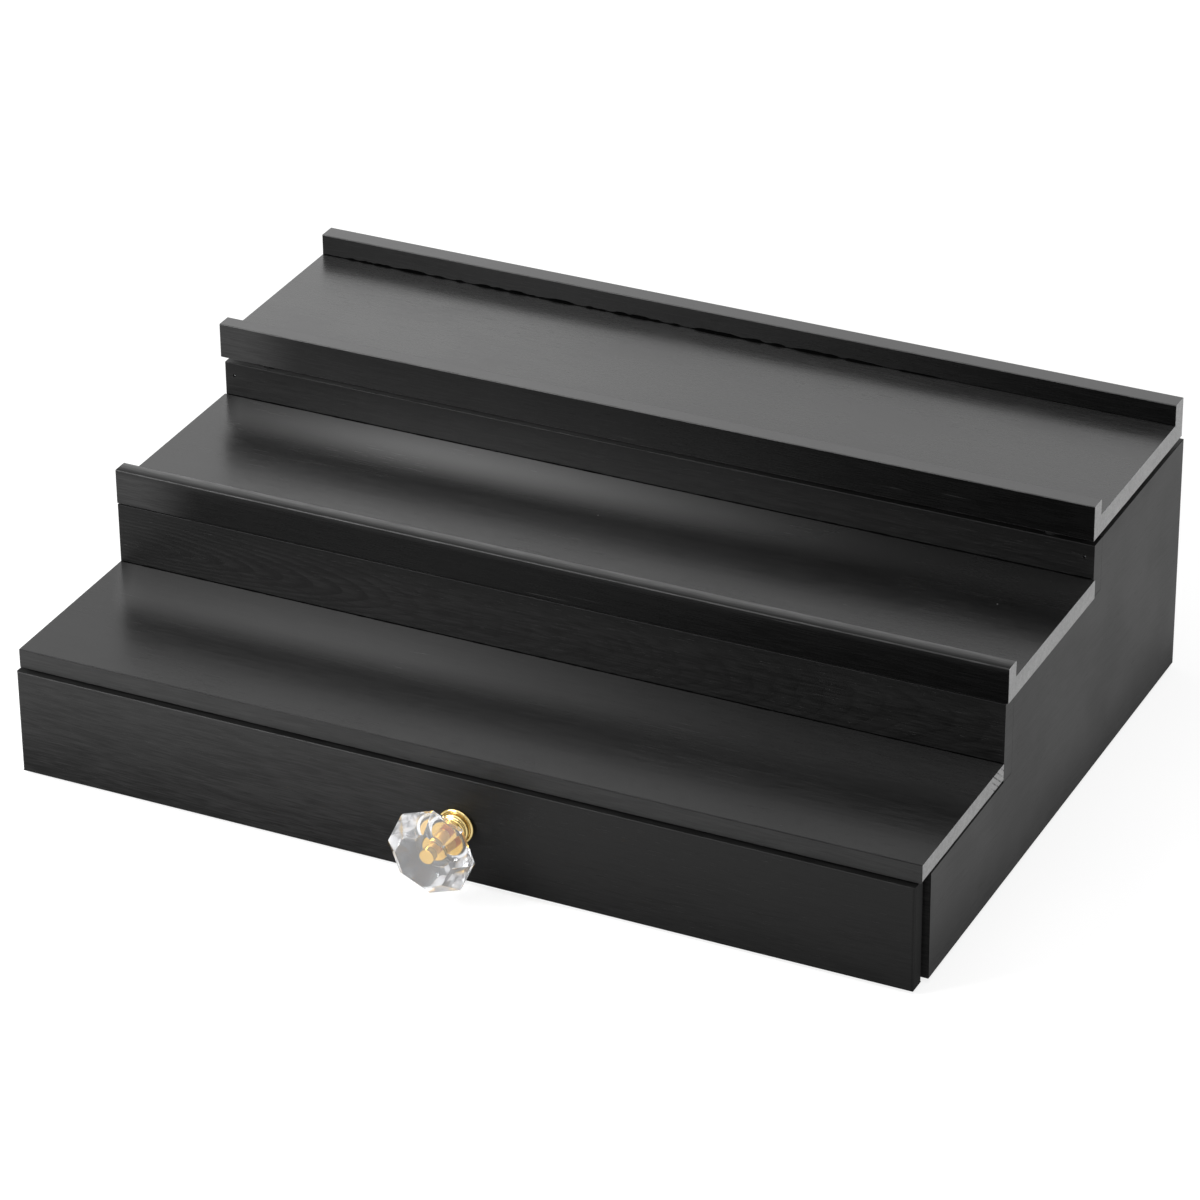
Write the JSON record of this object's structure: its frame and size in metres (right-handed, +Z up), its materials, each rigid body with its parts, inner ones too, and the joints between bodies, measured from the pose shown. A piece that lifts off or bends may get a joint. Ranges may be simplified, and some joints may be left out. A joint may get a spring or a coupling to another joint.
{
  "type": "perfume organizer with drawer",
  "caption": "Black three-tier stepped wooden perfume stand with a full-width drawer on a crystal knob and a hidden compartment under its hinged top tray.",
  "frame": {"origin": "middle of the footprint on the table, the knob included", "axes": "+X to the right seen from the front, +Y from the drawer front to the back, +Z up"},
  "size_m": [0.4014, 0.3133, 0.1309],
  "materials": {
    "black_wood": "satin black stain",
    "black_ply": "thin black panel",
    "gold": "polished",
    "steel": "zinc plated",
    "rubber": "matt",
    "crystal": "clear, cut"
  },
  "bodies": {
    "carcass": {"side_panel_left": "black_wood", "side_panel_right": "black_wood", "back_panel": "black_wood", "base_panel": "black_ply", "lower_riser": "black_wood", "upper_riser": "black_wood", "upper_riser_brads": "steel", "lower_shelf": "black_wood", "middle_shelf": "black_wood", "middle_shelf_lip": "black_wood", "compartment_partition": "black_wood", "compartment_floor": "black_ply", "hinge_leaf_carcass_left": "gold", "hinge_leaf_carcass_right": "gold", "hinge_pin_left": "gold", "hinge_pin_right": "gold", "hinge_screws_carcass": "steel", "lid_pad_left": "rubber", "lid_pad_right": "rubber", "foot_front_left": "rubber", "foot_front_right": "rubber", "foot_back_left": "rubber", "foot_back_right": "rubber"},
    "lid": {"lid_board": "black_wood", "lid_front_lip": "black_wood", "lid_back_lip": "black_wood", "hinge_leaf_lid_left": "gold", "hinge_leaf_lid_right": "gold", "hinge_screws_lid": "steel"},
    "drawer": {"drawer_front": "black_wood", "drawer_box_front": "black_wood", "drawer_side_left": "black_wood", "drawer_side_right": "black_wood", "drawer_back": "black_wood", "drawer_bottom": "black_ply", "drawer_front_screws": "steel", "drawer_brads": "steel", "knob_base": "gold", "knob_insert": "gold", "knob_crystal": "crystal", "knob_screw": "steel", "knob_washer": "steel"}
  },
  "joints": [
    {"name": "drawer_slide", "type": "slide", "parent": "carcass", "child": "drawer", "axis": [0, -1, 0], "range_m": [0, 0.19]},
    {"name": "lid_hinge", "type": "hinge", "parent": "carcass", "child": "lid", "pos_m": [0, 0.15455, 0.1112], "axis": [-1, 0, 0], "range_deg": [0, 110]}
  ]
}
